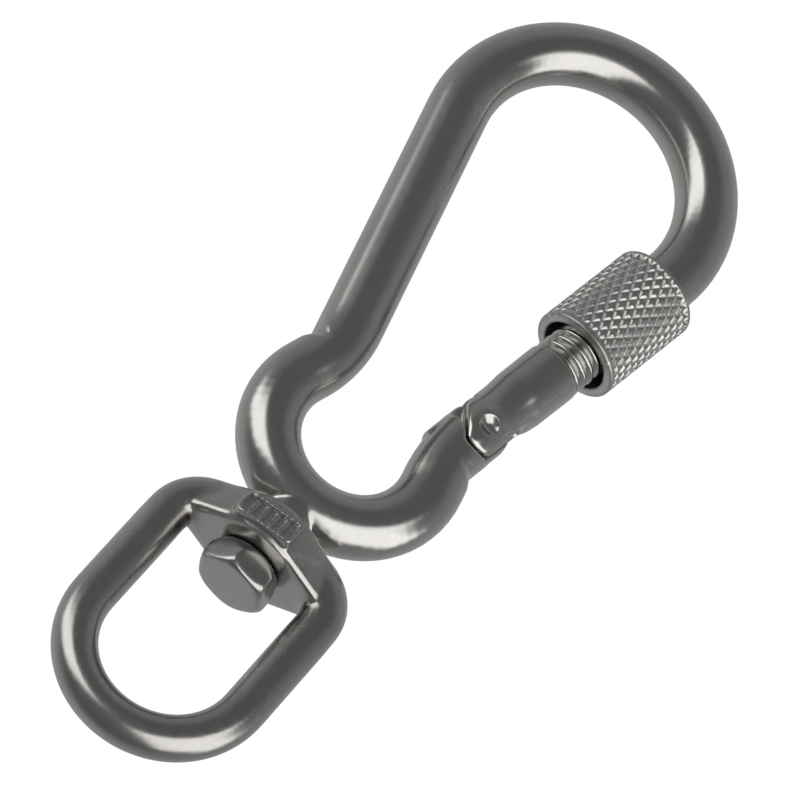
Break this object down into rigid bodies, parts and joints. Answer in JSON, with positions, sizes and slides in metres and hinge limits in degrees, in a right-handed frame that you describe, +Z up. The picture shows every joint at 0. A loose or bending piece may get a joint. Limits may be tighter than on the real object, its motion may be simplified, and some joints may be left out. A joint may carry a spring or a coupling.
{
  "type": "swivel eye snap hook",
  "caption": "Stainless swivel-eye snap hook: pear-shaped bar hook with a sprung, hinged gate and a knurled screw-lock sleeve, hanging from a forged D eye that turns on a hexagon bolt.",
  "frame": {"origin": "inner face of the eye's crown, on the swivel axis, where a chain link or shackle pin bears", "axes": "+Z up along the swivel axis with the hook hanging below; the hook lies in the XZ plane with its gate towards -X and its spine towards +X; Y runs across the hook and the hinge rivet lies along Y; the eye rests turned 6.7 degrees about Z"},
  "size_m": [0.0275, 0.0101, 0.0768],
  "materials": {
    "stainless_bar": "tumbled to a satin polish",
    "stainless_forged": "forged, then tumbled to a satin polish",
    "stainless_gate": "turned, tumbled to a satin polish",
    "stainless_bolt": "bright cold-headed steel, lightly tumbled",
    "stainless_knurled": "diamond knurl, tumbled",
    "spring_wire": "drawn spring wire"
  },
  "bodies": {
    "eye": {"swivel_eye": "stainless_forged"},
    "hook": {"hook_body": "stainless_bar", "swivel_bolt": "stainless_bolt"},
    "gate": {"gate": "stainless_gate", "hinge_rivet": "stainless_gate", "gate_spring": "spring_wire", "latch_pin": "stainless_bolt"},
    "plunger": {"spring_plunger": "stainless_bolt"},
    "sleeve": {"lock_sleeve": "stainless_knurled"}
  },
  "joints": [
    {"name": "swivel", "type": "hinge", "parent": "eye", "child": "hook", "pos_m": [0, 0, -0.0165], "axis": [0, 0, 1], "continuous": true},
    {"name": "gate_hinge", "type": "hinge", "parent": "hook", "child": "gate", "pos_m": [-0.00673, 0, -0.03648], "axis": [0, -1, 0], "range_deg": [0, 22], "stiffness_Nm_per_rad": 0.02, "springref_deg": -28.65},
    {"name": "sleeve_slide", "type": "slide", "parent": "gate", "child": "sleeve", "axis": [0.1554, 0, 0.9879], "range_m": [0, 0.0064]},
    {"name": "plunger_slide", "type": "slide", "parent": "gate", "child": "plunger", "axis": [-0.1554, 0, -0.9879], "range_m": [0, 0.0003], "deforming": ["gate_spring"]}
  ],
  "couplings": [
    {"joint": "sleeve_slide", "follows": "gate_hinge", "m_per_rad": 0.01666},
    {"joint": "plunger_slide", "follows": "gate_hinge", "m_per_rad": 0.000667}
  ]
}
